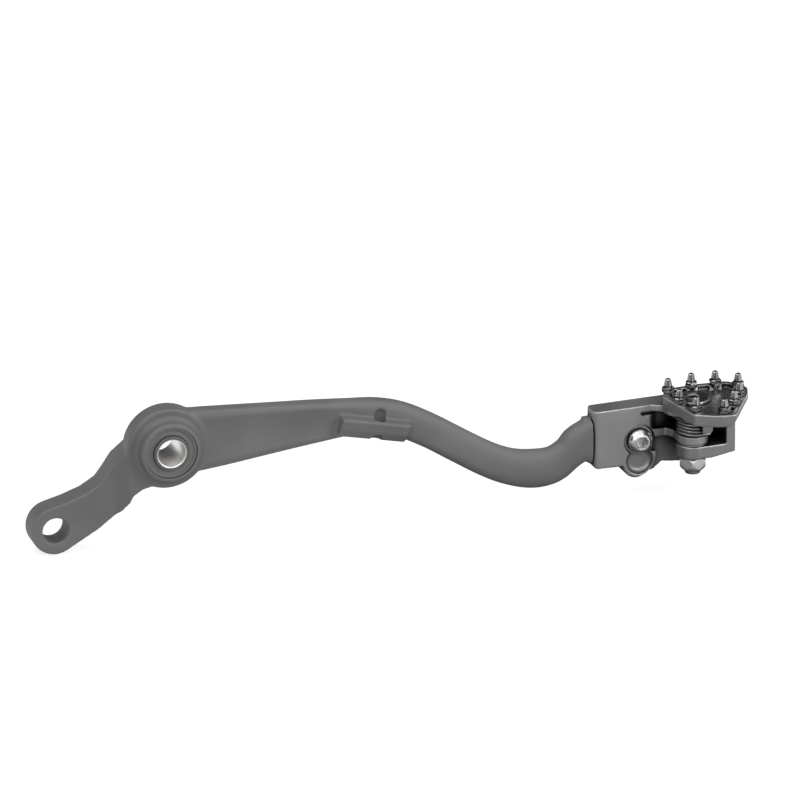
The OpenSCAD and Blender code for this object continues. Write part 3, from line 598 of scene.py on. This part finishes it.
def socket_head(name, place, radius, height, flat, edge_height, socket_af, socket_depth):
    """A domed head with a hex socket, its seat at zero height."""
    low = [(0, 0), (radius - edge_height / 3, 0), (radius, edge_height / 3)]
    rise, run = height - edge_height, radius - flat
    bulge = 0.16
    crown = [(flat + run * (1 - k) + bulge * rise * sin(pi * k),
              edge_height + rise * k + bulge * run * sin(pi * k)) for k in [i / 12 for i in range(13)]]
    head = lathe(name, [*low, *crown, (0, height)], place, 96, 40)
    corner = socket_af / 2 / cos(pi / 6)
    mouth = corner + 0.5
    floor = height - socket_depth
    cut_with(head, lathe("tool", [(0, floor - 1.4), (corner * 0.93, floor), (corner, floor),
                                  (corner, height - 0.35), (mouth, height + 0.15), (mouth, height + 2),
                                  (0, height + 2)], place, 6, 5))
    tidy(head, 35)
    return head


# painted shade: the screw head is darkened where its counterbore closes it in
polished = finish("polished_steel", (0.9, 0.9, 0.9), (0.95, 0.95, 0.95), roughness=0.28, metallic=1.0,
                  pits_per_metre=1200, patchy=0.3, cloud_depth=0.12, recess_shade=0.4, recess_shade_reach=0.004)
screw = socket_head("clamp_screw_head", screw_place, radius=6.7, height=5.8, flat=3.9, edge_height=0.9,
                    socket_af=5.7, socket_depth=3.4)
screw.data.materials.append(polished)
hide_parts("clamp_screw")
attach(screw, "pedal")


def shank_of(name, radius, foot, top, point, place):
    """The plain shank of a screw, with a rounded point."""
    outline = [(0, foot), (radius, foot), (radius, top), (0, top)]
    return lathe(name, eased(outline, [0, point, 0, 0], False), place, 48)


shank = shank_of("clamp_screw_shank", 3.98, -9.8, 0.02, 0.6, screw_place)
shank.data.materials.append(polished)
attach(shank, "pedal")

satin = finish("satin_steel", (0.4, 0.4, 0.4), (0.55, 0.55, 0.55), roughness=0.34, metallic=1.0,
               pits_per_metre=2200, patchy=0.4)
washer_in, washer_out, washer_t = 4.2, 7.75, 0.9
washer = lathe("clamp_screw_washer", eased(
    [(washer_in, -washer_t), (washer_out, -washer_t), (washer_out, 0), (washer_in, 0)], 0.25), screw_place)
washer.data.materials.append(satin)
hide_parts("clamp_washer")
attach(washer, "pedal")

# Toe pad: milled from one block with the clevis under it, its floor sunk inside a raised
# rim, anodised grey. The far side of the rim slopes down to the floor.
pad = solid_copy("tip_pad", "toe_pad")
one_skin(pad, rough_voxel, 0)
rim = [(-12.3, 3.4), (-9.6, 9.4), (5.6, 11.2), (22, 10.9), (26.9, 3)]
foot = [(-10.6, 2.4), (-8.4, 7.4), (5.6, 9.1), (20.6, 8.9), (25.2, 2)]
inward = [(-8, 0.5), (-5, 3), (5.6, 4), (19, 4), (22.2, 0)]
rim, foot, inward = (eased(line, [1, 2.6, 16, 4, 1], False, 8) for line in (rim, foot, inward))
above_rim, pad_floor = 1.7, -1.29
lines = ((rim, above_rim), (foot, pad_floor), (inward, pad_floor), (inward, above_rim))
n = len(rim)
sides = [(i * n + k, i * n + k + 1, (i + 1) % 4 * n + k + 1, (i + 1) % 4 * n + k)
         for i in range(4) for k in range(n - 1)]
ends = [tuple(i * n + k for i in range(4)) for k in (0, n - 1)]
cut_with(pad, piece("tool", [(x, y, z) for line, z in lines for x, y in line], [*sides, *ends], pad_place))
one_skin(pad, fine_voxel, 2)
tidy(pad, 60)
# painted shade: the pad is darkened nearly to black where its floor, eyes and gaps are closed in
pad.data.materials.append(finish("anodised_pad", (0.37, 0.37, 0.375), (0.62, 0.62, 0.63), roughness=0.32,
                                 metallic=0.95, pit_depth=0.00002, pits_per_metre=2600, edge_reach=0.0005,
                                 patchy=0.45, cloud_depth=0.06, recess_shade=0.02, recess_shade_reach=0.012))
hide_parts("tip_pad")
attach(pad, "pad")

# Pad pivot: a low-head socket bolt down through the eyes, a hex lock nut with a nylon ring
# in its domed collar, and a steel sleeve and washer on the bolt.
bolt_seat = pad_place @ Matrix.Translation((0, 0, -1.3))
bolt = socket_head("pivot_bolt_head", bolt_seat, radius=8.9, height=1.9, flat=8, edge_height=1.1,
                   socket_af=5, socket_depth=1.5)
# painted shade: the bolt head is darkened where the pad closes it in
bolt.data.materials.append(finish("dark_steel", (0.3, 0.3, 0.305), (0.55, 0.55, 0.55), roughness=0.32,
                                  metallic=1.0, pits_per_metre=2200, edge_reach=0.0004, patchy=0.4,
                                  recess_shade=0.3))
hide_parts("pad_pivot_bolt")
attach(bolt, "pad")
stem = shank_of("pivot_bolt_stem", 3.99, -40.3, -1.29, 0.7, pad_place)
stem.data.materials.append(satin)
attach(stem, "pad")


def hex_turned(name, profile, flats, place, sharp=28):
    """A turned profile cut down to a hexagon, with the curved chamfers of a real nut."""
    around = 72
    rings = []
    for r, z in profile:
        ring = []
        for k in range(around):
            a = 2 * pi * k / around
            off = (a + pi / 6) % (pi / 3) - pi / 6
            flat = flats / 2 / cos(off)
            ring.append((min(r, flat) * cos(a), min(r, flat) * sin(a), z))
        rings.append(ring)
    verts = [v for ring in rings for v in ring]
    ends = [tuple(range(around)), tuple((len(rings) - 1) * around + k for k in range(around))]
    return piece(name, verts, [*skin_faces(rings, around), *ends], place, sharp)


nut_turn = Matrix.Rotation(pi, 4, "X") @ Matrix.Rotation(radians(17), 4, "Z")
nut_place = pad_place @ Matrix.Translation((0, 0, -30.6)) @ nut_turn
nut_af = 13
nut_corner = nut_af / 2 / cos(pi / 6)
nut_face_r, nut_chamfer = 5.9, 2.1
dome_foot, dome_rise = 2.9, 6.4
chamfer = [(nut_face_r + (nut_corner - nut_face_r) * i / 8, nut_chamfer * i / 8) for i in range(9)]
dome = [(nut_corner * cos(radians(10 * i)), dome_foot + dome_rise * sin(radians(10 * i))) for i in range(9)]
nut = hex_turned("lock_nut", [*chamfer, *dome, (1.1, dome_foot + dome_rise)], nut_af, nut_place)
# painted shade: where the nut is closed in by the parts around it, its colour is darkened nearly to black
zinc = finish("zinc_plate", (0.8, 0.8, 0.805), (0.88, 0.88, 0.88), roughness=0.36, metallic=0.95,
              patchy=0.4, recess_shade=0.02, recess_shade_reach=0.0045)
nut.data.materials.append(zinc)
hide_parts("pad_lock_nut")
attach(nut, "pad")

for node, coat in (("spring_sleeve", satin), ("thrust_washer", satin), ("nut_locking_ring", rubber)):
    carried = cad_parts[node]
    carried.data.materials.clear()
    carried.data.materials.append(coat)

# Return spring: a torsion spring of round wire, coiled on the sleeve between the lips,
# with one leg against the block and the other against the pad's lug.
wire = bpy.data.curves.new("return_spring", "CURVE")
wire.dimensions = "3D"
wire_r = 0.85
wire.bevel_depth = wire_r * MM
wire.bevel_resolution = 6
wire.use_fill_caps = True
line = wire.splines.new("POLY")
coil_top, coil_foot, coil_r = -10.15, -17.65, 7.65
turns, first_turn = 4.25, -1605
back_leg, front_leg = 8, 5
count = int(turns * 32)
path = []
for i in range(count + 1):
    t = radians(first_turn + 360 * turns * i / count)
    path.append((coil_r * cos(t), coil_r * sin(t), coil_top + (coil_foot - coil_top) * i / count))
first, last = Vector(path[0]), Vector(path[-1])
back_along = (first - Vector(path[1])).normalized()
on_along = (last - Vector(path[-2])).normalized()
path = [tuple(first + back_along * back_leg), *path, tuple(last + on_along * front_leg)]
line.points.add(len(path) - 1)
for point, at in zip(line.points, path):
    point.co = (*(pad_place @ Vector(at) * MM), 1)
spring = bpy.data.objects.new("return_spring", wire)
scene.collection.objects.link(spring)
# painted shade: the coils are darkened where they close each other in and sit between the lips
spring.data.materials.append(finish("spring_steel", (0.26, 0.26, 0.265), (0.5, 0.5, 0.5), roughness=0.3,
                                    metallic=1.0, recess_shade=0.05, recess_shade_reach=0.006))
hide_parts("torsion_spring")
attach(spring, "pedal")

# Grip studs: nine turned steel studs with a hex collar and a cut-off cone, screwed through
# the pad's floor and rim and held by thin hex nuts.
# painted shade: the studs and their nuts are darkened where they are closed in at their collars and against
# the pad
stud_steel = finish("stud_steel", (0.35, 0.35, 0.35), (0.6, 0.6, 0.6), roughness=0.18, metallic=1.0,
                    recess_shade=0.15, recess_shade_reach=0.003)
nut_steel = finish("nut_steel", (0.26, 0.26, 0.265), (0.5, 0.5, 0.5), roughness=0.24, metallic=1.0,
                   recess_shade=0.1, recess_shade_reach=0.003)
studs = [(-10.8, 7.7), (2.6, 11.4), (15.1, 11.1), (25.2, 4.8), (-9.6, -7.8), (-4.8, -20.6), (8, -26.9),
         (16, -17.3), (22, -7.1)]
rim_top = 1.2
stud_af = 5.5
stud_corner = stud_af / 2 / cos(pi / 6)
nut_side = [(2.5, 0), (stud_corner, 0.25), (stud_corner, 1.3), (2.5, 1.6)]
stud_side = [(1.48, -5.8), (1.48, 1.6), (2.5, 1.6), (stud_corner, 1.85), (stud_corner, 2.75), (2.5, 3),
             (1.6, 3), (1.6, 3.4), (2.1, 3.8), (1.95, 4.4), (1.5, 6.8), (1.1, 7.2)]
for number, (x, y) in enumerate(studs, 1):
    base = pad_place @ Matrix.Translation((x, y, rim_top))
    stud_turn = Matrix.Rotation(radians(20 * number), 4, "Z")
    thin_nut_turn = Matrix.Rotation(radians(20 * number + 42), 4, "Z")
    thin_nut = hex_turned(f"jam_nut_{number}", nut_side, stud_af, base @ thin_nut_turn)
    thin_nut.data.materials.append(nut_steel)
    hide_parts(f"stud_nut_{number}")
    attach(thin_nut, "pad")
    stud = hex_turned(f"stud_{number}", stud_side, stud_af, base @ stud_turn, 24)
    stud.data.materials.append(stud_steel)
    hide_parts(f"grip_stud_{number}")
    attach(stud, "pad")
